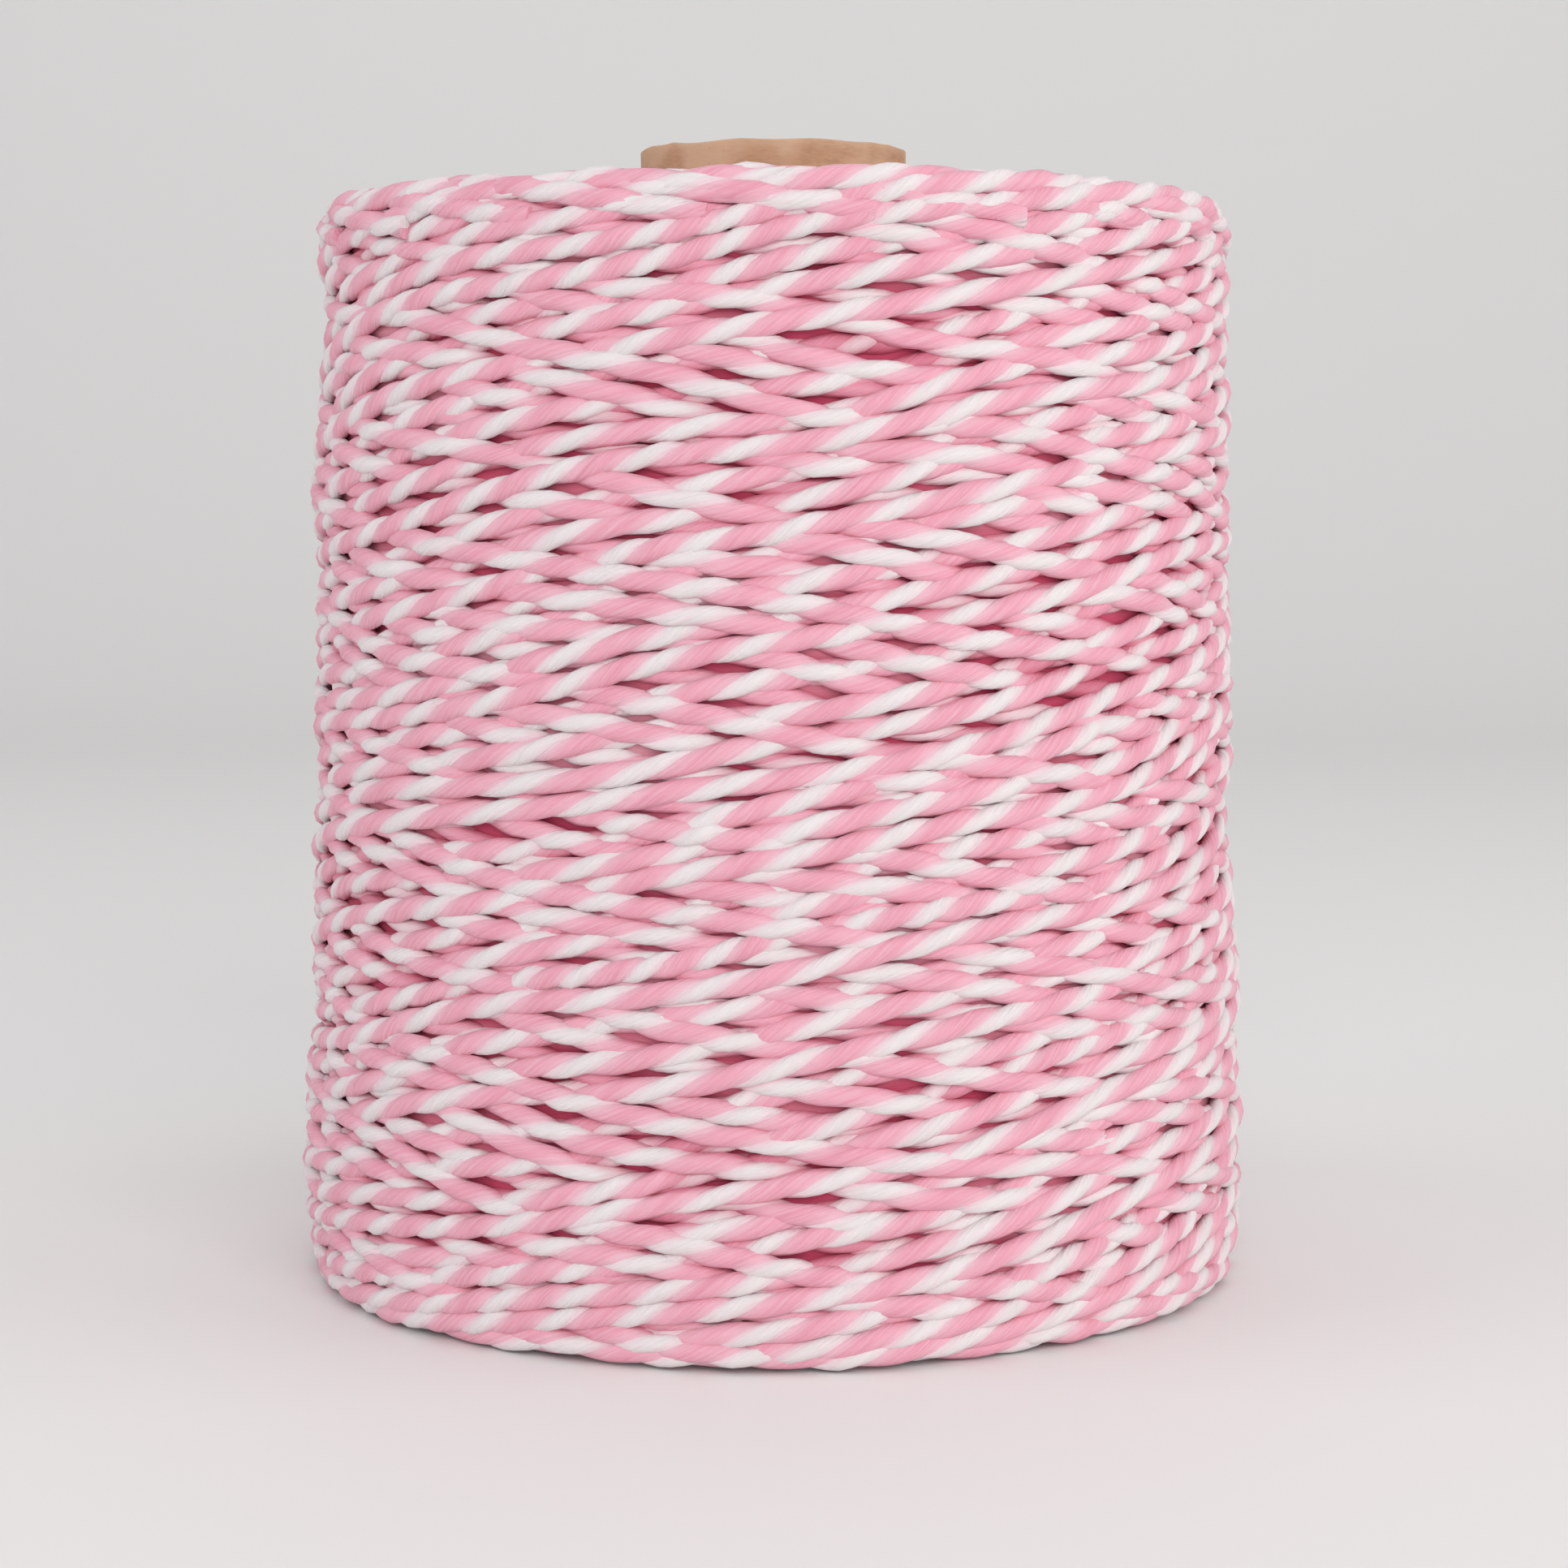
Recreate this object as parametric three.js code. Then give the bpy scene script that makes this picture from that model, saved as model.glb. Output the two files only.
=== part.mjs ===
// A cylindrical roll of two-ply paper twine, cross-wound on a card tube that stands out at the top.
// Millimetres, +Z up. The origin is the middle of the roll's lower end, on the surface it stands on.

import * as THREE from 'three';

// The card tube
const CORE = { outerRadius: 11.5, boreRadius: 10, length: 96.6, edge: 0.25, sides: 48 };

// The wound twine: its height, the gap that parts it from the tube and the roundness of its shoulders
const WINDING = { height: 92, gapToCore: 0.3, shoulder: 2.4 };

// The widest radius of the winding at several heights: a slight waist under the upper shoulder and a
// lower half that is a little wider
const SIDE = [
  { height: 0, radius: 40.6 },
  { height: 6, radius: 41.0 },
  { height: 22, radius: 40.7 },
  { height: 46, radius: 40.2 },
  { height: 70, radius: 39.8 },
  { height: 82, radius: 39.3 },
  { height: 92, radius: 39.6 },
];

// The crossing turns on the side: each ridge stands for three neighbouring turns, some rising and some
// falling round the roll, and in each patch one of the two families lies over the other
const TURNS = { pitch: 7.6, starts: 4, relief: 2, lap: 0.55, patchEdge: 0.6 };

// Long soft waves, which choose the patches and make the side as uneven as hand-sized rolls are:
// waves round the roll, waves up its height, place of the first crest and share of the whole
const PATCH_WAVES = [
  { around: 3, along: 2.6, start: 0.3, share: 0.9 },
  { around: -4, along: 3.7, start: 2.1, share: 0.8 },
  { around: 5, along: 1.2, start: 4.4, share: 0.6 },
  { around: -2, along: 5.3, start: 1.2, share: 0.5 },
];
const UNEVEN_WAVES = [
  { around: 2, along: 1.4, start: 0.9, share: 0.18 },
  { around: -3, along: 3.2, start: 2.7, share: 0.16 },
  { around: 7, along: 2.1, start: 5.1, share: 0.12 },
  { around: -6, along: 6.4, start: 3.6, share: 0.12 },
];

// The two ends: rings of turns that reverse there, with flat crests and hollows between them
const END_RINGS = { count: 4, hollow: 0.8, crestShare: 0.5, sway: 0.25, swayWaves: 5, swayStep: 2 };

// How finely the winding's faces are cut
const GRID = { columns: 60, sideRows: 60, shoulderRows: 2 };

const FULL_TURN = 2 * Math.PI;

const MATERIALS = {
  twine: new THREE.MeshStandardMaterial({ color: 0xebb4c3, roughness: 0.85, metalness: 0 }),
  card: new THREE.MeshStandardMaterial({ color: 0xc8a078, roughness: 0.9, metalness: 0 }),
};

// The sum of a table's waves at one place: theta round the roll, share of its height
function waves(table, theta, share) {
  const phase = (wave) => wave.around * theta + wave.along * FULL_TURN * share + wave.start;
  return table.reduce((sum, wave) => sum + wave.share * Math.sin(phase(wave)), 0);
}

// The side's radius at a height, a smooth step between the rows of the table
function sideRadius(z) {
  const above = Math.max(1, SIDE.findIndex((row) => row.height >= z));
  const [low, high] = [SIDE[above - 1], SIDE[above]];
  const share = THREE.MathUtils.smoothstep(z, low.height, high.height);
  return THREE.MathUtils.lerp(low.radius, high.radius, share);
}

// A round ridge that repeats with every whole step of phase: 1 on its crest, 0 in its valley
function ridge(phase) {
  return (1 - Math.cos(FULL_TURN * phase)) / 2;
}

// How high the crossing turns stand on the side at one place, from 0 in a valley to 1 on a crest
function turnHeight(theta, z) {
  const up = z / TURNS.pitch;
  const round = (TURNS.starts * theta) / FULL_TURN;
  const patch = waves(PATCH_WAVES, theta, z / WINDING.height);
  const choice = THREE.MathUtils.smoothstep(patch, -TURNS.patchEdge, TURNS.patchEdge);
  const rising = ridge(up - round) - TURNS.lap * choice;
  const falling = ridge(up + round) - TURNS.lap * (1 - choice);
  return Math.max(rising, falling, 0);
}

// One section of the winding at the angle theta: [radius, height] points, from the inside of its lower
// end, out along the lower end, up the side and back along the upper end
function windingSection(theta) {
  const inner = CORE.outerRadius + WINDING.gapToCore;
  const sidePoint = (z) => {
    const uneven = waves(UNEVEN_WAVES, theta, z / WINDING.height);
    return [sideRadius(z) + uneven - TURNS.relief * (1 - turnHeight(theta, z)), z];
  };

  // From the tube outwards: hollow, crest, crest, hollow, for each ring
  const endRow = (level, into, edge) => {
    const pitch = (edge - WINDING.shoulder - inner) / END_RINGS.count;
    const crest = (END_RINGS.crestShare * pitch) / 2;
    const rows = [[inner, level + into * END_RINGS.hollow]];
    for (let ring = 0; ring < END_RINGS.count; ring += 1) {
      const middle = inner + (ring + 0.5) * pitch;
      const sway = END_RINGS.sway * Math.sin(END_RINGS.swayWaves * theta + END_RINGS.swayStep * ring);
      rows.push([middle - crest + sway, level], [middle + crest + sway, level]);
      rows.push([inner + (ring + 1) * pitch + sway, level + into * END_RINGS.hollow]);
    }
    return rows;
  };

  const firstSide = WINDING.shoulder;
  const lastSide = WINDING.height - WINDING.shoulder;
  const side = [];
  for (let row = 0; row <= GRID.sideRows; row += 1) {
    side.push(sidePoint(THREE.MathUtils.lerp(firstSide, lastSide, row / GRID.sideRows)));
  }

  // A quarter round between an end's last hollow and the side's first row
  const shoulder = (from, to) => {
    const rows = [];
    for (let row = 1; row <= GRID.shoulderRows; row += 1) {
      const angle = (row / (GRID.shoulderRows + 1)) * (Math.PI / 2);
      rows.push([
        THREE.MathUtils.lerp(from[0], to[0], Math.sin(angle)),
        THREE.MathUtils.lerp(to[1], from[1], Math.cos(angle)),
      ]);
    }
    return rows;
  };

  const lower = endRow(0, 1, SIDE[0].radius - TURNS.relief);
  const upper = endRow(WINDING.height, -1, SIDE.at(-1).radius - TURNS.relief).reverse();
  return [
    ...lower,
    ...shoulder(lower.at(-1), side[0]),
    ...side,
    ...shoulder(upper[0], side.at(-1)).reverse(),
    ...upper,
  ];
}

// Whether the diagonal from the first point to the third is the shorter one of a four-sided face: cut
// along it, the two triangles follow a slanting ridge
function firstDiagonalIsShorter(points, [a, b, c, d]) {
  return points[a].distanceTo(points[c]) <= points[b].distanceTo(points[d]);
}

// A closed body swept once round +Z, from a section that changes with the angle
function sweptRound(sectionAt, columns) {
  const angles = Array.from({ length: columns }, (_, column) => (column / columns) * FULL_TURN);
  const sections = angles.map(sectionAt);
  const rows = sections[0].length;
  const points = sections.flatMap((section, column) => section.map(([radius, z]) => {
    const [x, y] = [radius * Math.cos(angles[column]), radius * Math.sin(angles[column])];
    return new THREE.Vector3(x, y, z);
  }));
  const index = [];
  for (let column = 0; column < columns; column += 1) {
    const next = (column + 1) % columns;
    for (let row = 0; row < rows; row += 1) {
      const after = (row + 1) % rows;
      const face = [column * rows + row, next * rows + row, next * rows + after, column * rows + after];
      const [a, b, c, d] = face;
      index.push(...(firstDiagonalIsShorter(points, face) ? [a, b, c, a, c, d] : [a, b, d, b, c, d]));
    }
  }
  const geometry = new THREE.BufferGeometry().setFromPoints(points);
  geometry.setIndex(index);
  geometry.computeVertexNormals();
  return geometry;
}

function makeWinding() {
  const mesh = new THREE.Mesh(sweptRound(windingSection, GRID.columns), MATERIALS.twine);
  mesh.name = 'winding';
  return mesh;
}

// The tube: a closed ring section with slightly eased edges, open right through
function makeCore() {
  const { outerRadius, boreRadius, length, edge, sides } = CORE;
  const section = [
    [boreRadius, edge],
    [boreRadius + edge, 0],
    [outerRadius - edge, 0],
    [outerRadius, edge],
    [outerRadius, length - edge],
    [outerRadius - edge, length],
    [boreRadius + edge, length],
    [boreRadius, length - edge],
  ];
  const mesh = new THREE.Mesh(sweptRound(() => section, sides), MATERIALS.card);
  mesh.name = 'core';
  return mesh;
}

const roll = new THREE.Group();
roll.add(makeCore(), makeWinding());

export default roll;
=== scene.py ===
import math

import bpy
import numpy as np
from mathutils import Euler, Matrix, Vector


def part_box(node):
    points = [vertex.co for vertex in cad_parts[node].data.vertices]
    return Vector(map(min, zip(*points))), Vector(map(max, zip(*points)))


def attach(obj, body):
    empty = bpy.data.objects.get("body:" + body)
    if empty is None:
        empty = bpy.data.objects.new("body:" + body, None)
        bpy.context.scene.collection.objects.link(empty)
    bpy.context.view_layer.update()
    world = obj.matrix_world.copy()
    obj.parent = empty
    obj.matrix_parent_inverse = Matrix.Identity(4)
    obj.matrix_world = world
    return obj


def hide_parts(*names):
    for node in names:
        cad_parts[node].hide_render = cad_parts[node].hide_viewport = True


# An upright roll of two-ply paper twine, one ply pink and one white, cross-wound on a card tube.
# The twine of the outer layer is one long path, laid in rising and falling passes, and each ply of it
# is a closed tube that twists round the other. Sizes here are millimetres; meshes are in metres.
MM = 0.001
FULL_TURN = 2 * math.pi
SEED = 4

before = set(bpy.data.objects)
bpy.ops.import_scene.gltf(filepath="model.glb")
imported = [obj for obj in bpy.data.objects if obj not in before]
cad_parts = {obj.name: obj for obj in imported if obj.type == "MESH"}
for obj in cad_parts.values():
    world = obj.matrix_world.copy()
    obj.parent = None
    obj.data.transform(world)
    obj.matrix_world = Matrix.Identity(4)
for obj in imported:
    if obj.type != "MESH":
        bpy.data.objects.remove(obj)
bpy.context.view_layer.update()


def in_mm(node):
    """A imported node's lowest and highest corners, in millimetres."""
    low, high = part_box(node)
    return [value / MM for value in low], [value / MM for value in high]


# Read from the frame
WINDING_LOW, WINDING_HIGH = in_mm("winding")
CORE_LOW, CORE_HIGH = in_mm("core")
BASE = WINDING_LOW[2]
HEIGHT = WINDING_HIGH[2] - BASE
TUBE_RADIUS = CORE_HIGH[0]
TUBE_TOP = CORE_HIGH[2]
TUBE_WALL = 1.5

# The widest radius of the winding at several heights
SIDE = [
    {"height": 0, "radius": 40.5},
    {"height": 6, "radius": 40.7},
    {"height": 22, "radius": 40.4},
    {"height": 46, "radius": 39.9},
    {"height": 70, "radius": 39.5},
    {"height": 82, "radius": 39.0},
    {"height": 92, "radius": 39.4},
]

# How the outer layer is laid. After DOUBLE_PASSES rises and falls, in WHOLE_TURNS turns of the roll, the
# twine would meet its own start. A fresh pass lies beside the one laid five double passes earlier.
# RISING_LEAD is a rising pass's place in the order of a double pass, where the falling one has 1: above 1
# it makes rising passes lie over more often. END_ROOM is how far the twine's middle stays from the ends.
DOUBLE_PASSES = 18
WHOLE_TURNS = 83
START_ANGLE = math.radians(75)
RISING_LEAD = 4
SAMPLES_A_TURN = 360
REVERSAL_ROUNDING = 0.05
REVERSAL_UNEVEN = 0.12
END_ROOM = 1.10
RELIEF = 0.7
RELIEF_BLUR = 3.0
SWAY = 0.22
SWAY_LENGTH = 20
FREE_FROM_ENDS = 7.0
SHOULDER_DEPTH = 5.5
SHOULDER_DROP = 0.4
TUCK_DEPTH = 4.0
TUCK_SAMPLES = 24

# Slow waves that push neighbouring turns up or down together, and that make the side uneven:
# waves round the roll, waves up its height, place of the first crest and size in millimetres
DRIFT_WAVES = [
    {"around": 2, "along": 2.3, "start": 0.4, "size": 0.40},
    {"around": -3, "along": 3.4, "start": 2.2, "size": 0.34},
    {"around": 5, "along": 1.7, "start": 4.0, "size": 0.26},
    {"around": -7, "along": 4.1, "start": 5.3, "size": 0.16},
    {"around": 9, "along": -3.0, "start": 1.1, "size": 0.12},
]
UNEVEN_WAVES = [
    {"around": 2, "along": 1.4, "start": 0.9, "size": 0.18},
    {"around": -3, "along": 3.2, "start": 2.7, "size": 0.16},
    {"around": 7, "along": 5.1, "start": 5.1, "size": 0.14},
    {"around": -6, "along": 9.4, "start": 3.6, "size": 0.14},
]

# The twine: one twist of its two plies, how far a ply and the notch between plies stand from the middle
LAY = 8.6
LAY_UNEVEN = 0.16
LAY_KNOTS = 60
PLY_REACH = 1.02
NOTCH_REACH = 0.77
FLATNESS = 0.86
PINK_SHARE = 0.58
PLUMPNESS = 0.05
PLUMP_KNOTS = 5
RINGS_A_LAY = 9
SIDE_FACES = 6
END_RINGS_A_LAY = 7
END_FACES = 4

# The reversals of the inner layers, which show on both ends: each is an arc that steps out by
# END_STEP_OUT round its crest
END_LAYERS = 8
END_FIRST_RADIUS = 13.4
END_LAYER_PITCH = 3.3
END_STEP_OUT = 1.9
END_ARC = math.radians(33)
END_ROUNDING = math.radians(7)
END_STEP_ANGLE = math.radians(20)
END_SAMPLES = 67
END_TURN_UNEVEN = 0.12
END_RADIUS_UNEVEN = 0.15

# The body behind the twine, seen only through gaps
HEART_BELOW_SIDE = 1.6
HEART_BELOW_END = 3.0
HEART_RIDGE = 0.15
HEART_PITCH = 2.5
HEART_STEP = 1.0
HEART_COLUMNS = 96
HEART_TO_TUBE = 0.05

# How deep under the side the painted shade of the gaps becomes full, and what share of a depth under an
# end counts towards it
SHADE_DEPTH = 1.7
END_SHADE_SHARE = 0.5

# Where a ply starts to take on the other's colour, from its middle to its edge, and how much of it the
# edge and the streaks take; the streaks, paler on the wrinkles' crests, are partly a painted highlight
EDGE_START = 0.35
EDGE_BLEND = 0.95
STREAK_AND_HIGHLIGHT_BLEND = 0.5

# How many times higher than wide a ring of faces is in the baked picture, and where its outer faces and
# then its two inner ones lie in its height
MAP_SHAPE = 5.1
MAP_OUTER = (0.04, 0.86)
MAP_INNER = (0.9, 0.94)

# The angles past which an edge shades sharply
TWINE_SHARP = math.radians(75)
TUBE_SHARP = math.radians(40)

# The card tube: its grid, its paper layers at the ends, its uneven cut and the joint of its outer paper
TUBE_COLUMNS = 160
TUBE_HIDDEN_ROWS = 5
TUBE_SHOWN_ROWS = 15
TUBE_BORE_ROWS = 28
TUBE_LAYERS = 3
TUBE_EASE = 0.15
TUBE_SHOWN = 8.0
LAYER_GROOVE = 0.07
LAYER_EDGE = 0.03
LAYER_FLAT = 0.10
CUT_UNEVEN = 0.12
CUT_SPACING = 8
CUT_DEPTH = 1.0
CUT_FLARE = 0.2
RIM_PALE = 1.0
SEAM_PITCH = 46.0
SEAM_WIDTH = 0.35

# Colours, linear. The deep colours are painted shade for twine lying deep in the gaps between turns
PINK = (0.81, 0.375, 0.47, 1)
# A shade colour is painted shade in the wrinkles' creases, and also a darker tone that the paper takes in
# random patches
PINK_SHADE = (0.68, 0.26, 0.35, 1)
PINK_DEEP_SHADE = (0.52, 0.06, 0.13, 1)
WHITE = (0.79, 0.745, 0.745, 1)
WHITE_SHADE = (0.67, 0.59, 0.60, 1)
WHITE_DEEP_SHADE = (0.68, 0.26, 0.34, 1)
# A colour between the two plies', taken at a ply's edges and, on the wrinkles' crests, partly a painted
# highlight
BETWEEN_AND_HIGHLIGHT = (0.82, 0.55, 0.62, 1)
KRAFT = (0.50, 0.30, 0.18, 1)
KRAFT_DARK = (0.38, 0.205, 0.115, 1)
KRAFT_LIGHT = (0.60, 0.40, 0.265, 1)
FLOOR = (0.86, 0.85, 0.84, 1)

# The stage, a floor that bends up into a wall: its outline and how finely it is cut
STAGE_HALF_WIDTH = 2400
STAGE_FRONT = -2600
STAGE_BEND_START = 600
STAGE_BEND_RADIUS = 400
STAGE_TOP = 1800
STAGE_COLUMNS = 24
STAGE_FLOOR_ROWS = 60
STAGE_BEND_ROWS = 12
STAGE_WALL_ROWS = 8

# The lights, aimed at the roll's middle, in metres and watts, and the light all round
AIM = (0, 0, 0.05)
LIGHTS = {
    "key": {"place": (0.22, -0.95, 0.42), "size": (0.9, 0.7), "power": 5.9, "colour": (1, 0.99, 0.98)},
    "left": {"place": (-0.90, -0.25, 0.32), "size": (0.8, 0.8), "power": 3.2, "colour": (0.98, 0.99, 1)},
    "right": {"place": (0.90, -0.20, 0.32), "size": (0.8, 0.8), "power": 3.2, "colour": (1, 0.99, 0.98)},
    "above": {"place": (0, 0.10, 0.95), "size": (0.8, 0.8), "power": 2.0, "colour": (1, 1, 1)},
}
WORLD_COLOUR = (0.93, 0.94, 0.96, 1)
WORLD_STRENGTH = 0.36

# The photograph's camera: its place, and its focal length, horizon and the roll's axis in pixels
PHOTO_SIDE = 1932
CAMERA_PLACE = (0, -285, 66.8)
FOCAL_PIXELS = 4019
CAMERA_DOWN = math.radians(2.4)
HORIZON_ROW = 610
AXIS_COLUMN = 953
SENSOR = 36
CLIP = (0.01, 20)


def smoothstep(share):
    """A smooth step from 0 to 1."""
    share = np.clip(share, 0, 1)
    return share * share * (3 - 2 * share)


def side_radius(height):
    """The side's radius at heights above the base, a smooth step between the rows of the table."""
    heights = [row["height"] for row in SIDE]
    radii = np.array([row["radius"] for row in SIDE])
    above = np.clip(np.searchsorted(heights, height), 1, len(SIDE) - 1)
    low, high = np.array(heights)[above - 1], np.array(heights)[above]
    share = smoothstep((height - low) / (high - low))
    return radii[above - 1] + (radii[above] - radii[above - 1]) * share


def waves(table, angle, height):
    """The sum of a table's waves at angles round the roll and heights above the base."""
    total = 0
    for wave in table:
        phase = wave["around"] * angle + wave["along"] * FULL_TURN * height / HEIGHT + wave["start"]
        total = total + wave["size"] * np.sin(phase)
    return total


def smooth_noise(random, count, spacing):
    """A smooth random curve of unit size with a knot each spacing samples."""
    knots = random.standard_normal(int(count / spacing) + 4)
    place = np.arange(count) / spacing
    whole = place.astype(int)
    part = place - whole
    before, here, after, later = (knots[whole + step] for step in range(4))
    slope = after - before
    bend = 2 * before - 5 * here + 4 * after - later
    turn = 3 * (here - after) + later - before
    return here + 0.5 * part * (slope + part * (bend + part * turn))


def blur(values, width):
    """A curve's values spread over their neighbours, width samples each way."""
    reach = int(3 * width) + 1
    weights = np.exp(-0.5 * (np.arange(-reach, reach + 1) / width) ** 2)
    return np.convolve(np.pad(values, reach, mode="edge"), weights / weights.sum(), mode="valid")


def lies_over(number, time):
    """1 where a pass lies over the one that crosses it, -1 where it lies under it.

    The pass is number double passes from the start, and time, from 0 to 1, runs up in the first half of
    a double pass and down in the second. The later of two crossing passes lies over the other.
    """
    rising = time < 0.5
    slot = np.round(WHOLE_TURNS * (number + 2 * time - 1)).astype(int)
    crossing_number = slot * pow(WHOLE_TURNS, -1, DOUBLE_PASSES) % DOUBLE_PASSES
    own_order = 2 * number + np.where(rising, RISING_LEAD, 1)
    crossing_order = 2 * crossing_number + np.where(rising, 1, RISING_LEAD)
    return np.sign(own_order - crossing_order)


def rounded_zigzag(time, rounding):
    """From -1 at the start of a double pass to 1 at its middle and back, with rounded reversals."""
    straight = 1 - 4 * np.abs(time - 0.5)
    crest = math.hypot(1, rounding)
    bent = crest - np.hypot(1 - np.abs(straight), rounding)
    return np.sign(straight) * bent / (crest - rounding)


def place_along(angle, height, radius, random):
    """A path of the twine: its places, and the twist of its plies counted in whole lays."""
    points = np.stack([radius * np.cos(angle), radius * np.sin(angle), BASE + height], axis=1)
    steps = np.linalg.norm(np.diff(points, axis=0), axis=1)
    lay = LAY * (1 + LAY_UNEVEN * smooth_noise(random, len(angle), LAY_KNOTS))
    lays = random.uniform(0, 1) + np.concatenate([[0], np.cumsum(steps / lay[1:])])
    return {"points": points, "lays": lays}


def outer_path():
    """The outer layer's twine, from its tucked start to its tucked end."""
    random = np.random.default_rng(SEED)
    samples = WHOLE_TURNS * SAMPLES_A_TURN
    index = np.arange(samples + 1)
    passes = index * DOUBLE_PASSES / samples
    number = np.minimum(passes.astype(int), DOUBLE_PASSES - 1)
    time = passes - number
    angle = START_ANGLE + FULL_TURN * index / SAMPLES_A_TURN

    swing = rounded_zigzag(time, REVERSAL_ROUNDING)
    upper = REVERSAL_UNEVEN * np.abs(random.standard_normal(DOUBLE_PASSES))
    lower = REVERSAL_UNEVEN * np.abs(random.standard_normal(DOUBLE_PASSES + 1))
    short = np.where(swing > 0, upper[number], lower[np.round(passes).astype(int)])
    height = HEIGHT / 2 + swing * (HEIGHT / 2 - END_ROOM - short)
    free = smoothstep(np.minimum(height, HEIGHT - height) / FREE_FROM_ENDS)
    height = height + free * waves(DRIFT_WAVES, angle, height)
    height = height + free * SWAY * smooth_noise(random, len(index), SWAY_LENGTH)

    over = blur(lies_over(number, time), RELIEF_BLUR)
    to_end = np.minimum(height, HEIGHT - height)
    shoulder = SHOULDER_DROP * np.clip(1 - to_end / SHOULDER_DEPTH, 0, 1) ** 2
    tucked = TUCK_DEPTH * smoothstep(1 - np.minimum(index, samples - index) / TUCK_SAMPLES)
    radius = side_radius(height) + waves(UNEVEN_WAVES, angle, height) - PLY_REACH * FLATNESS
    radius = radius - RELIEF / 2 * (1 - over) - shoulder - tucked
    return place_along(angle, height, radius, random)


def end_paths(upwards):
    """The reversals of the inner layers at one end: arcs that crest there and dive at both their ends."""
    random = np.random.default_rng(SEED + (1 if upwards else 2))
    sweep = np.linspace(-END_ARC, END_ARC, END_SAMPLES)
    rise = (HEIGHT - 2 * END_ROOM) / (FULL_TURN * WHOLE_TURNS / DOUBLE_PASSES / 2)
    drop = rise * (np.hypot(sweep, END_ROUNDING) - END_ROUNDING)
    step_out = END_STEP_OUT * smoothstep((sweep / END_STEP_ANGLE + 1) / 2)
    paths = []
    for layer in range(END_LAYERS):
        turned = random.uniform(0, FULL_TURN)
        for reversal in range(DOUBLE_PASSES):
            middle = turned + FULL_TURN * (reversal + random.normal(0, END_TURN_UNEVEN)) / DOUBLE_PASSES
            depth = END_ROOM + REVERSAL_UNEVEN * abs(random.standard_normal()) + drop
            height = HEIGHT - depth if upwards else depth
            radius = END_FIRST_RADIUS + layer * END_LAYER_PITCH + step_out
            radius = radius + random.normal(0, END_RADIUS_UNEVEN)
            paths.append(place_along(middle + sweep, height, radius, random))
    return paths


def rings_along(path, rings_a_lay):
    """Places and axes of the rings that a ply's tube goes through, with their twist in whole lays."""
    first, last = path["lays"][0], path["lays"][-1]
    lays = np.arange(math.ceil(first * rings_a_lay), math.floor(last * rings_a_lay) + 1) / rings_a_lay
    columns = [np.interp(lays, path["lays"], column) for column in path["points"].T]
    middle = np.stack(columns, axis=1)
    ahead = np.gradient(middle, axis=0)
    ahead /= np.linalg.norm(ahead, axis=1, keepdims=True)
    outward = middle * (1, 1, 0)
    outward /= np.linalg.norm(outward, axis=1, keepdims=True)
    upward = np.cross(outward, ahead)
    upward /= np.linalg.norm(upward, axis=1, keepdims=True)
    outward = np.cross(ahead, upward)
    return {"lays": lays, "middle": middle, "outward": outward, "upward": upward}


def ply_tube(rings, share, start, faces, random):
    """One ply's tube: its share of the twine's round, begun at an angle that twists with the lays.

    Each ring has its outer points from one notch to the other and then one on the twine's middle line.
    """
    middle_reach = (PLY_REACH ** 2 - NOTCH_REACH ** 2) / (2 * PLY_REACH)
    ply_radius = PLY_REACH - middle_reach
    spread = np.linspace(-1, 1, faces + 1)
    bend = spread * math.pi / 2
    reach = middle_reach * np.cos(bend) + np.sqrt(ply_radius ** 2 - (middle_reach * np.sin(bend)) ** 2)
    count = len(rings["lays"])
    plump = [smooth_noise(random, count, PLUMP_KNOTS) for _ in range(3)]
    plump = np.stack([np.interp(spread, (-1, 0, 1), row) for row in np.array(plump).T])
    reach = reach * (1 + PLUMPNESS * plump * np.cos(bend))
    turn = FULL_TURN * rings["lays"][:, None] + start + spread * share * math.pi
    outward = (FLATNESS * reach * np.cos(turn))[:, :, None] * rings["outward"][:, None, :]
    upward = (reach * np.sin(turn))[:, :, None] * rings["upward"][:, None, :]
    outer = rings["middle"][:, None, :] + outward + upward
    points = np.concatenate([outer, rings["middle"][:, None, :]], axis=1)
    along = np.repeat(rings["lays"][:, None] * LAY, faces + 2, axis=1)
    around = np.tile(np.append(spread * share * math.pi * PLY_REACH, 0), (count, 1))
    return {"points": points, "along": along, "around": around}


def sunk_shade_share(points):
    """How deep points lie under the roll's surface, as a share of full painted shade: 0 at the crests, 1
    where little light comes.
    """
    radius = np.hypot(points[..., 0], points[..., 1])
    height = points[..., 2] - BASE
    under_side = side_radius(np.clip(height, 0, HEIGHT)) - radius
    under_end = np.minimum(height, HEIGHT - height)
    return np.clip(np.minimum(under_side, END_SHADE_SHARE * under_end) / SHADE_DEPTH, 0, 1)


def bake_map(columns, faces):
    """Corners of every side face in the baked picture: the rings of faces laid side by side in rows."""
    a_row = math.ceil(math.sqrt(columns * MAP_SHAPE))
    rows = math.ceil(columns / a_row)
    column = np.arange(columns)
    left = (column % a_row)[:, None] / a_row
    row = (column // a_row)[:, None]
    bands = np.append(np.linspace(*MAP_OUTER, faces + 1), MAP_INNER)
    low, high = (row + bands[None, :-1]) / rows, (row + bands[None, 1:]) / rows
    left = np.broadcast_to(left, low.shape)
    right = left + 1 / a_row
    corners = [(right, low), (right, high), (left, high), (left, low)]
    return np.stack([np.stack(corner, axis=-1) for corner in corners], axis=2)


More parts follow.
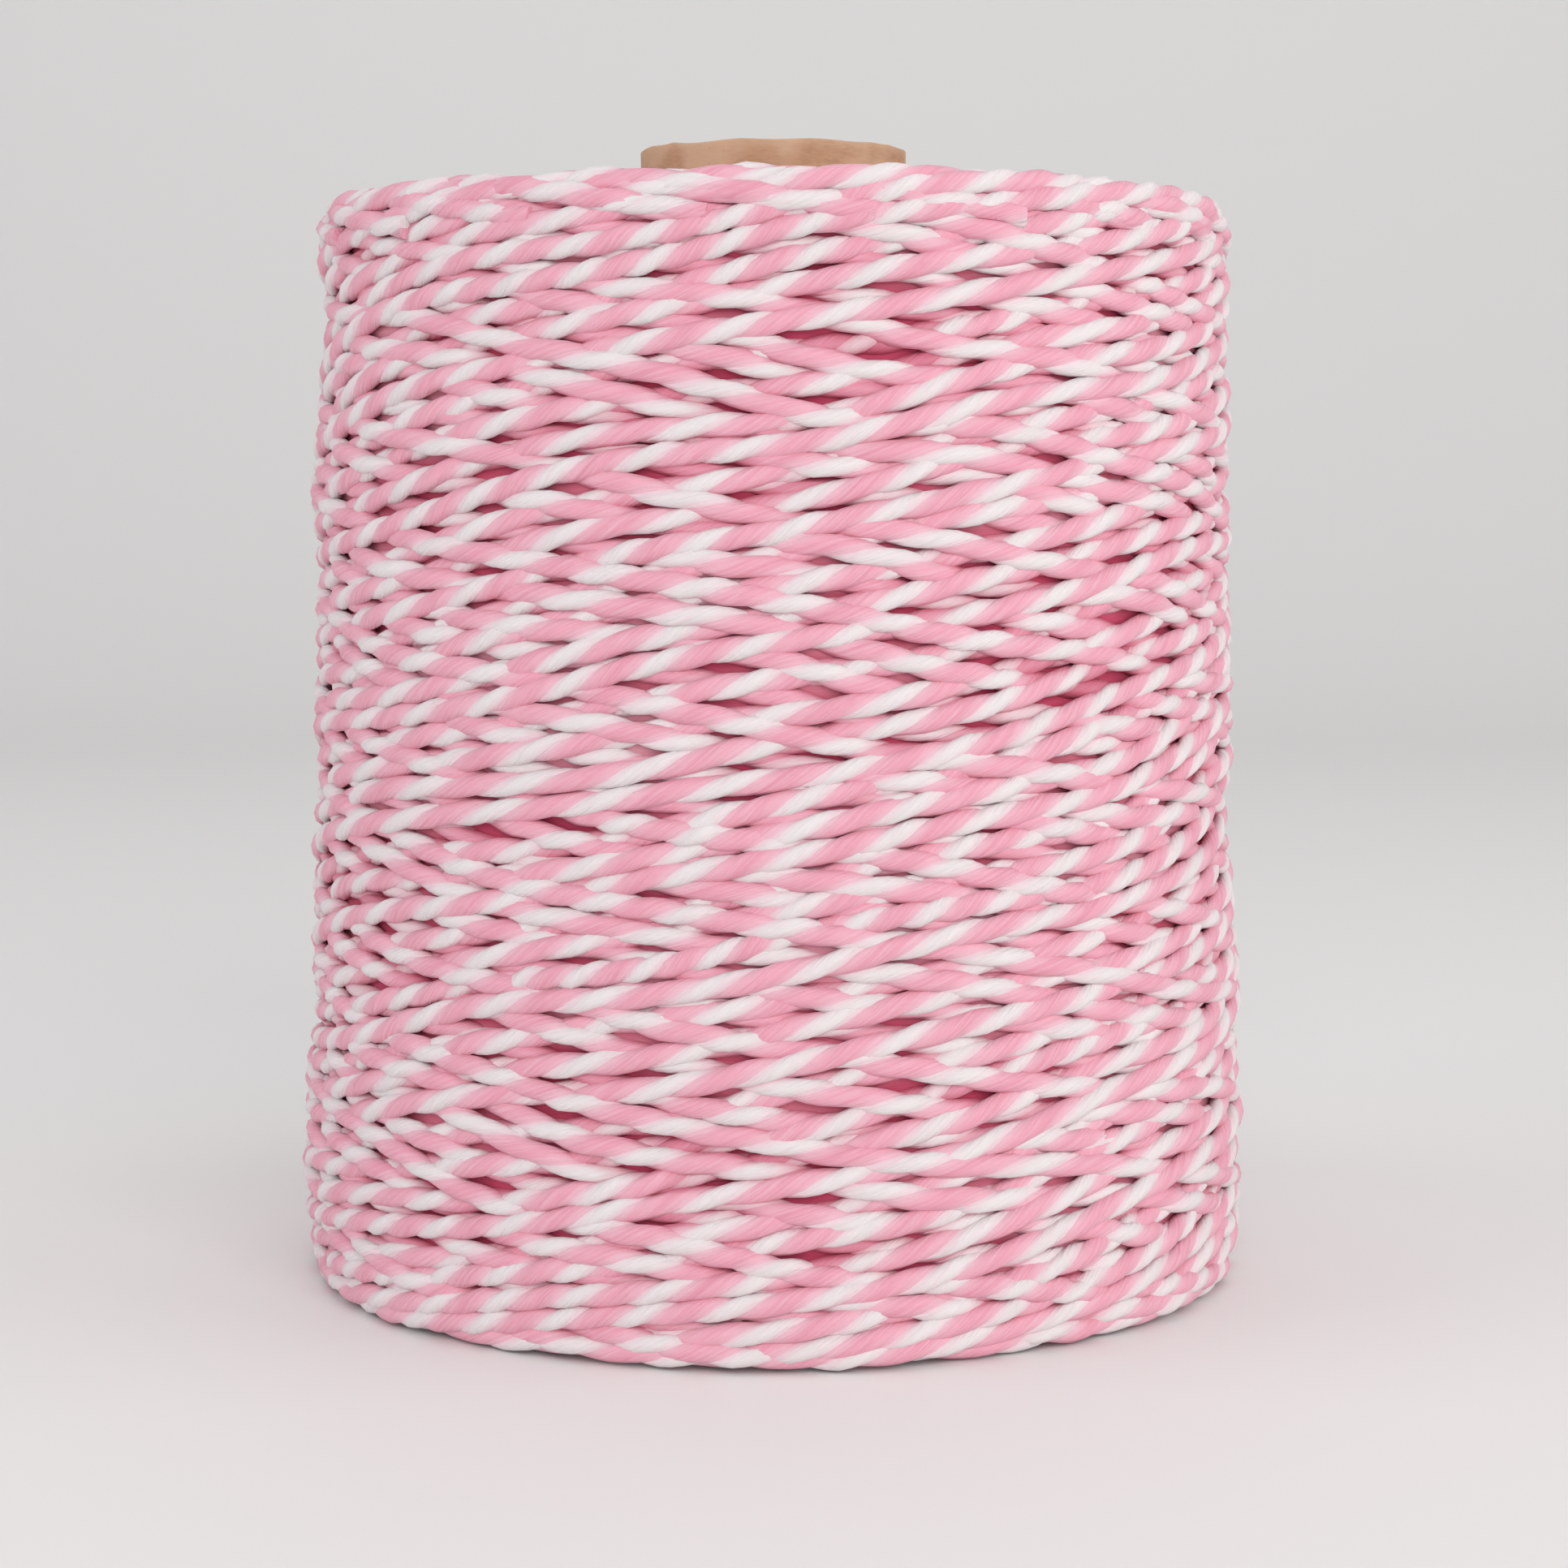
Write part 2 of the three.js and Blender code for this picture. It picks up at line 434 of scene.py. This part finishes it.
def mesh_piece(name, points, faces, material):
    """A smooth-shaded mesh object of points in millimetres, at the origin."""
    mesh = bpy.data.meshes.new(name)
    mesh.from_pydata((np.asarray(points) * MM).tolist(), [], faces)
    mesh.validate()
    mesh.shade_smooth()
    mesh.materials.append(material)
    piece = bpy.data.objects.new(name, mesh)
    bpy.context.scene.collection.objects.link(piece)
    return piece


def set_attribute(mesh, name, kind, values):
    """A named value or vector at each point of a mesh."""
    layer = mesh.attributes.new(name, kind, "POINT")
    key = "vector" if kind == "FLOAT_VECTOR" else "value"
    layer.data.foreach_set(key, np.ascontiguousarray(values).ravel())


def tube_faces(tubes):
    """The side faces and the end faces of closed tubes whose points follow each other."""
    sides, ends = [], []
    first = 0
    for tube in tubes:
        count, around = tube["points"].shape[:2]
        start = first + around * np.arange(count - 1)[:, None]
        ring = start + np.arange(around)[None, :]
        beside = start + (np.arange(around) + 1)[None, :] % around
        quads = np.stack([ring + around, beside + around, beside, ring], axis=2)
        sides += quads.reshape(-1, 4).tolist()
        last = first + around * (count - 1)
        ends.append(list(range(first, first + around)))
        ends.append(list(range(last, last + around))[::-1])
        first += around * count
    return sides, ends


def twine_piece(name, tubes, material):
    """Closed tubes of one ply, joined in one piece."""
    sides, ends = tube_faces(tubes)
    points = np.concatenate([tube["points"].reshape(-1, 3) for tube in tubes])
    piece = mesh_piece(name, points, sides + ends, material)
    mesh = piece.data
    mesh.set_sharp_from_angle(angle=TWINE_SHARP)
    along = np.concatenate([tube["along"].ravel() for tube in tubes])
    around = np.concatenate([tube["around"].ravel() for tube in tubes])
    set_attribute(mesh, "twine", "FLOAT_VECTOR", np.stack([along, around, 0 * along], axis=1))
    # How deep each point lies, which sets its painted shade
    set_attribute(mesh, "sunk_shade", "FLOAT", sunk_shade_share(points))
    faces_a_ring = tubes[0]["points"].shape[1]
    corners = np.zeros((len(mesh.loops), 2))
    side_corners = bake_map(len(sides) // faces_a_ring, faces_a_ring - 2)
    corners[: 4 * len(sides)] = side_corners.reshape(-1, 2)
    mesh.uv_layers.new(name="OFBake").uv.foreach_set("vector", corners.ravel())
    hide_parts("winding")
    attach(piece, "root")


def turned_piece(name, profile, columns, material, shift):
    """A closed section turned round +Z, with its points shifted by a function of the angle."""
    profile = np.array(profile, float)
    angle = FULL_TURN * np.arange(columns) / columns
    radius = np.tile(profile[:, 0], (columns, 1))
    height = np.tile(profile[:, 1], (columns, 1))
    radius, height = shift(angle[:, None], radius, height)
    points = np.stack([radius * np.cos(angle)[:, None], radius * np.sin(angle)[:, None], height], axis=2)
    rows = len(profile)
    column = np.arange(columns)[:, None]
    here = rows * column + np.arange(rows)[None, :]
    beside = rows * ((column + 1) % columns) + np.arange(rows)[None, :]
    quads = np.stack([here, beside, np.roll(beside, -1, axis=1), np.roll(here, -1, axis=1)], axis=2)
    return mesh_piece(name, points.reshape(-1, 3), quads.reshape(-1, 4).tolist(), material)


class Nodes:
    """Short calls for one material's nodes."""

    def __init__(self, name):
        self.material = bpy.data.materials.new(name)
        self.material.use_nodes = True
        self.tree = self.material.node_tree
        self.shader = self.tree.nodes["Principled BSDF"]

    def add(self, kind, inputs=(), **settings):
        node = self.tree.nodes.new(kind)
        for key, value in settings.items():
            setattr(node, key, value)
        for key, value in dict(inputs).items():
            self.put(value, node.inputs[key])
        return node

    def put(self, value, socket):
        if isinstance(value, bpy.types.NodeSocket):
            self.tree.links.new(value, socket)
        else:
            socket.default_value = value

    def math(self, operation, first, second=0.0):
        return self.add("ShaderNodeMath", {0: first, 1: second}, operation=operation).outputs[0]

    def attribute(self, name, output="Vector"):
        return self.add("ShaderNodeAttribute", attribute_name=name).outputs[output]

    def stretched(self, vector, scale):
        node = self.add("ShaderNodeVectorMath", {0: vector, 1: scale}, operation="MULTIPLY")
        return node.outputs[0]

    def noise(self, vector, scale=1.0, detail=3.0, roughness=0.5):
        inputs = {"Vector": vector, "Scale": scale, "Detail": detail, "Roughness": roughness}
        return self.add("ShaderNodeTexNoise", inputs).outputs["Fac"]

    def remap(self, value, low, high, to_low=0.0, to_high=1.0):
        inputs = {"Value": value, "From Min": low, "From Max": high, "To Min": to_low, "To Max": to_high}
        return self.add("ShaderNodeMapRange", inputs).outputs[0]

    def mix(self, share, first, second):
        inputs = {0: share, 6: first, 7: second}
        return self.add("ShaderNodeMix", inputs, data_type="RGBA").outputs[2]

    def bump(self, height, distance, strength=1.0, normal=None):
        inputs = {"Height": height, "Distance": distance, "Strength": strength}
        if normal:
            inputs["Normal"] = normal
        return self.add("ShaderNodeBump", inputs).outputs[0]


def paper(name, share_of_round, bright, shade, deep):
    """Matte twisted paper: lengthwise wrinkles with painted shade in their creases and paler streaking on
    their crests, partly a painted highlight, soft mottling, and painted shade where it lies deep.

    Towards its edges a ply takes on some of the other ply's colour.
    """
    nodes = Nodes(name)
    twine = nodes.attribute("twine")
    half_width = share_of_round * math.pi * PLY_REACH
    across = nodes.add("ShaderNodeSeparateXYZ", {0: twine}).outputs["Y"]
    wrinkles = nodes.noise(nodes.stretched(twine, (0.22, 3.0, 1)), detail=4.0, roughness=0.6)
    fibres = nodes.noise(nodes.stretched(twine, (1.6, 11.0, 1)), detail=2.0)
    mottling = nodes.noise(nodes.stretched(twine, (0.10, 0.5, 1)), detail=2.0)
    # Painted shade in the wrinkles' creases; the patches are a darker tone at random
    crease_shade = nodes.remap(wrinkles, 0.52, 0.30)
    patchy = nodes.remap(mottling, 0.42, 0.68)
    share = nodes.math("ADD", nodes.math("MULTIPLY", crease_shade, 0.45), nodes.math("MULTIPLY", patchy, 0.30))
    colour = nodes.mix(share, bright, shade)
    # Paler streaks on the wrinkles' crests, partly the paper's own tone and partly a painted highlight
    streaks_and_highlight = nodes.remap(wrinkles, 0.50, 0.72, 0.0, STREAK_AND_HIGHLIGHT_BLEND)
    colour = nodes.mix(streaks_and_highlight, colour, BETWEEN_AND_HIGHLIGHT)
    edge = nodes.remap(nodes.math("ABSOLUTE", across), EDGE_START * half_width, half_width)
    edge = nodes.math("MULTIPLY", edge, nodes.remap(mottling, 0.3, 0.7, 0.3, EDGE_BLEND))
    colour = nodes.mix(edge, colour, BETWEEN_AND_HIGHLIGHT)
    # Painted shade where the twine lies deep in the gaps between turns
    sunk_shade = nodes.remap(nodes.attribute("sunk_shade", "Fac"), 0.45, 1.0)
    colour = nodes.mix(sunk_shade, colour, deep)
    nodes.put(colour, nodes.shader.inputs["Base Color"])
    nodes.put(nodes.remap(fibres, 0.3, 0.7, 0.68, 0.86), nodes.shader.inputs["Roughness"])
    nodes.shader.inputs["Specular IOR Level"].default_value = 0.3
    nodes.shader.inputs["Sheen Weight"].default_value = 0.12
    nodes.shader.inputs["Sheen Roughness"].default_value = 0.5
    normal = nodes.bump(wrinkles, 0.22 * MM, 0.7)
    normal = nodes.bump(fibres, 0.03 * MM, 0.4, normal)
    nodes.put(normal, nodes.shader.inputs["Normal"])
    return nodes.material


def kraft_card():
    """Kraft card: short fibres, darker specks and the spiral joint of the outer paper."""
    nodes = Nodes("kraft_card")
    place = nodes.add("ShaderNodeTexCoord").outputs["Object"]
    place = nodes.stretched(place, (1 / MM, 1 / MM, 1 / MM))
    fibres = nodes.noise(nodes.stretched(place, (1.1, 1.1, 3.5)), detail=5.0, roughness=0.65)
    specks = nodes.noise(place, scale=4.0, detail=2.0)
    cloud = nodes.noise(place, scale=0.22, detail=2.0)
    colour = nodes.mix(nodes.remap(fibres, 0.2, 0.6), KRAFT_DARK, KRAFT)
    colour = nodes.mix(nodes.remap(cloud, 0.4, 0.6, 0.0, 0.8), colour, KRAFT_LIGHT)
    colour = nodes.mix(nodes.remap(specks, 0.68, 0.76, 0.0, 0.5), colour, KRAFT_DARK)
    height = nodes.add("ShaderNodeSeparateXYZ", {0: place}).outputs["Z"]
    rim = nodes.remap(height, TUBE_TOP - RIM_PALE, TUBE_TOP, 0.0, 0.5)
    colour = nodes.mix(rim, colour, KRAFT_LIGHT)
    seam = nodes.attribute("seam", "Fac")
    colour = nodes.mix(nodes.math("MULTIPLY", seam, 0.6), colour, KRAFT_DARK)
    nodes.put(colour, nodes.shader.inputs["Base Color"])
    nodes.put(nodes.remap(fibres, 0.3, 0.7, 0.78, 0.92), nodes.shader.inputs["Roughness"])
    nodes.shader.inputs["Specular IOR Level"].default_value = 0.3
    normal = nodes.bump(fibres, 0.08 * MM, 0.6)
    normal = nodes.bump(specks, 0.04 * MM, 0.4, normal)
    nodes.put(normal, nodes.shader.inputs["Normal"])
    return nodes.material


def floor_paint():
    """A pale matte paint with a fine grain in its gloss."""
    nodes = Nodes("pale_floor")
    place = nodes.add("ShaderNodeTexCoord").outputs["Object"]
    grain = nodes.noise(place, scale=900.0, detail=2.0)
    nodes.shader.inputs["Base Color"].default_value = FLOOR
    nodes.put(nodes.remap(grain, 0.3, 0.7, 0.55, 0.65), nodes.shader.inputs["Roughness"])
    return nodes.material


def make_twine(pink, white):
    """The outer layer in two lengths of each ply, and the reversals on both ends."""
    random = np.random.default_rng(SEED + 10)
    plies = [
        {"name": "twine_pink", "material": pink, "share": PINK_SHARE, "start": 0},
        {"name": "twine_white", "material": white, "share": 1 - PINK_SHARE, "start": math.pi},
    ]
    outer = rings_along(outer_path(), RINGS_A_LAY)
    half = len(outer["lays"]) // 2
    lengths = {
        "first": {key: values[: half + 1] for key, values in outer.items()},
        "second": {key: values[half:] for key, values in outer.items()},
    }
    ends = {
        "top": [rings_along(path, END_RINGS_A_LAY) for path in end_paths(True)],
        "bottom": [rings_along(path, END_RINGS_A_LAY) for path in end_paths(False)],
    }
    for ply in plies:
        shape = (ply["share"], ply["start"])
        for part, rings in lengths.items():
            tube = ply_tube(rings, *shape, SIDE_FACES, random)
            twine_piece(ply["name"] + "_" + part, [tube], ply["material"])
        for part, arcs in ends.items():
            tubes = [ply_tube(rings, *shape, END_FACES, random) for rings in arcs]
            twine_piece(ply["name"] + "_" + part, tubes, ply["material"])


def make_heart(material):
    """The wound body behind the outer turns, ridged like them and coloured mostly in the painted shade of
    the gaps.
    """
    inner = TUBE_RADIUS + HEART_TO_TUBE
    low, high = BASE + HEART_BELOW_END, BASE + HEIGHT - HEART_BELOW_END
    heights = np.arange(low, high, HEART_STEP)
    radii = side_radius(heights - BASE) - HEART_BELOW_SIDE
    ridge = HEART_RIDGE * np.cos(FULL_TURN * heights / HEART_PITCH)
    side = list(zip(radii + ridge, heights))
    across = np.arange(inner, radii[0] - HEART_STEP, HEART_STEP)
    dip = HEART_RIDGE * np.cos(FULL_TURN * across / HEART_PITCH)
    bottom = list(zip(across, low + dip))
    top = list(zip(across, high - dip))[::-1]

    def shift(angle, radius, height):
        return radius + waves(UNEVEN_WAVES, angle, height - BASE), height

    heart = turned_piece("winding_heart", bottom + side + top, HEART_COLUMNS, material, shift)
    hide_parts("winding")
    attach(heart, "root")
    points = np.array([vertex.co for vertex in heart.data.vertices]) / MM
    along = np.arctan2(points[:, 1], points[:, 0]) * points[:, 2].mean()
    twine = np.stack([along, points[:, 2], 0 * along], axis=1)
    set_attribute(heart.data, "twine", "FLOAT_VECTOR", twine)
    # The heart lies deep, so its colour is mostly painted shade
    set_attribute(heart.data, "sunk_shade", "FLOAT", sunk_shade_share(points))


def tube_section():
    """The card tube's section, from its bore's lower end round its outside, with its paper layers."""
    bore = TUBE_RADIUS - TUBE_WALL
    layer = TUBE_WALL / TUBE_LAYERS
    ends = []
    for start in bore + layer * np.arange(TUBE_LAYERS):
        ends += [(start + LAYER_EDGE, LAYER_GROOVE), (start + LAYER_FLAT, 0)]
        ends += [(start + layer - LAYER_FLAT, 0), (start + layer - LAYER_EDGE, LAYER_GROOVE)]
    low_end = [(radius, CORE_LOW[2] + rise) for radius, rise in ends]
    high_end = [(radius, TUBE_TOP - rise) for radius, rise in reversed(ends)]
    low, high = CORE_LOW[2] + TUBE_EASE, TUBE_TOP - TUBE_EASE
    hidden = np.linspace(low, TUBE_TOP - TUBE_SHOWN, TUBE_HIDDEN_ROWS)
    shown = np.linspace(TUBE_TOP - TUBE_SHOWN, high, TUBE_SHOWN_ROWS + 1)[1:]
    outside = [(TUBE_RADIUS, height) for height in (*hidden, *shown)]
    inside = [(bore, height) for height in np.linspace(high, low, TUBE_BORE_ROWS)]
    return low_end + outside + high_end + inside


def make_tube(material):
    """The card tube, its top cut a little uneven and the joint of its outer paper a thin line."""
    random = np.random.default_rng(SEED + 20)
    uneven = CUT_UNEVEN * smooth_noise(random, TUBE_COLUMNS, CUT_SPACING)
    uneven = (uneven * (1 - np.linspace(-1, 1, TUBE_COLUMNS) ** 8))[:, None]

    def shift(angle, radius, height):
        near_cut = np.clip(1 - (TUBE_TOP - height) / CUT_DEPTH, 0, 1)
        return radius + near_cut * uneven * CUT_FLARE, height - near_cut * np.abs(uneven)

    tube = turned_piece("card_tube", tube_section(), TUBE_COLUMNS, material, shift)
    points = np.array([vertex.co for vertex in tube.data.vertices]) / MM
    turn = np.arctan2(points[:, 1], points[:, 0]) / FULL_TURN
    from_seam = np.abs((points[:, 2] / SEAM_PITCH - turn + 0.5) % 1 - 0.5) * SEAM_PITCH
    set_attribute(tube.data, "seam", "FLOAT", np.clip(1 - from_seam / SEAM_WIDTH, 0, 1))
    tube.data.set_sharp_from_angle(angle=TUBE_SHARP)
    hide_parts("core")
    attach(tube, "root")


def make_stage():
    """A pale floor that curves up into a backdrop behind the roll."""
    wall = STAGE_BEND_START + STAGE_BEND_RADIUS
    section = [(y, 0) for y in np.linspace(STAGE_FRONT, STAGE_BEND_START, STAGE_FLOOR_ROWS)]
    for angle in np.linspace(0, math.pi / 2, STAGE_BEND_ROWS + 1)[1:]:
        y = STAGE_BEND_START + STAGE_BEND_RADIUS * math.sin(angle)
        section.append((y, STAGE_BEND_RADIUS * (1 - math.cos(angle))))
    heights = np.linspace(STAGE_BEND_RADIUS, STAGE_TOP, STAGE_WALL_ROWS + 1)[1:]
    section += [(wall, height) for height in heights]
    points = []
    for x in np.linspace(-STAGE_HALF_WIDTH, STAGE_HALF_WIDTH, STAGE_COLUMNS):
        points += [(x, y, z) for y, z in section]
    rows = len(section)
    faces = []
    for column in range(STAGE_COLUMNS - 1):
        for row in range(rows - 1):
            corner = column * rows + row
            faces.append((corner, corner + rows, corner + rows + 1, corner + 1))
    floor = mesh_piece("floor", points, faces, floor_paint())


def area_light(name, place, size, power, colour):
    """A soft rectangular light aimed at the roll."""
    data = bpy.data.lights.new(name, "AREA")
    data.shape = "RECTANGLE"
    data.size, data.size_y = size
    data.energy = power
    data.color = colour
    light = bpy.data.objects.new(name, data)
    light.location = place
    light.rotation_euler = (Vector(AIM) - Vector(place)).to_track_quat("-Z", "Y").to_euler()
    bpy.context.scene.collection.objects.link(light)


def make_lights():
    """The soft lights and the light all round, shown without a film look."""
    for name, light in LIGHTS.items():
        area_light(name, **light)
    world = bpy.data.worlds.new("studio")
    world.use_nodes = True
    background = world.node_tree.nodes["Background"]
    background.inputs["Color"].default_value = WORLD_COLOUR
    background.inputs["Strength"].default_value = WORLD_STRENGTH
    bpy.context.scene.world = world
    bpy.context.scene.view_settings.view_transform = "Standard"


def make_camera():
    """The photograph's camera: level but for a slight tilt, with the rest of the framing by shift."""
    data = bpy.data.cameras.new("camera")
    data.sensor_width = SENSOR
    data.lens = FOCAL_PIXELS / PHOTO_SIDE * SENSOR
    axis_row = HORIZON_ROW + FOCAL_PIXELS * math.tan(CAMERA_DOWN)
    data.shift_y = (axis_row - PHOTO_SIDE / 2) / PHOTO_SIDE
    data.clip_start, data.clip_end = CLIP
    camera = bpy.data.objects.new("camera", data)
    camera.location = Vector(CAMERA_PLACE) * MM
    turned = math.atan((PHOTO_SIDE / 2 - AXIS_COLUMN) / FOCAL_PIXELS)
    camera.rotation_euler = Euler((math.pi / 2 - CAMERA_DOWN, 0, -turned))
    bpy.context.scene.collection.objects.link(camera)
    bpy.context.scene.camera = camera


make_camera()
make_lights()
make_stage()
pink_paper = paper("twine_pink", PINK_SHARE, PINK, PINK_SHADE, PINK_DEEP_SHADE)
white_paper = paper("twine_white", 1 - PINK_SHARE, WHITE, WHITE_SHADE, WHITE_DEEP_SHADE)
make_twine(pink_paper, white_paper)
make_heart(pink_paper)
make_tube(kraft_card())
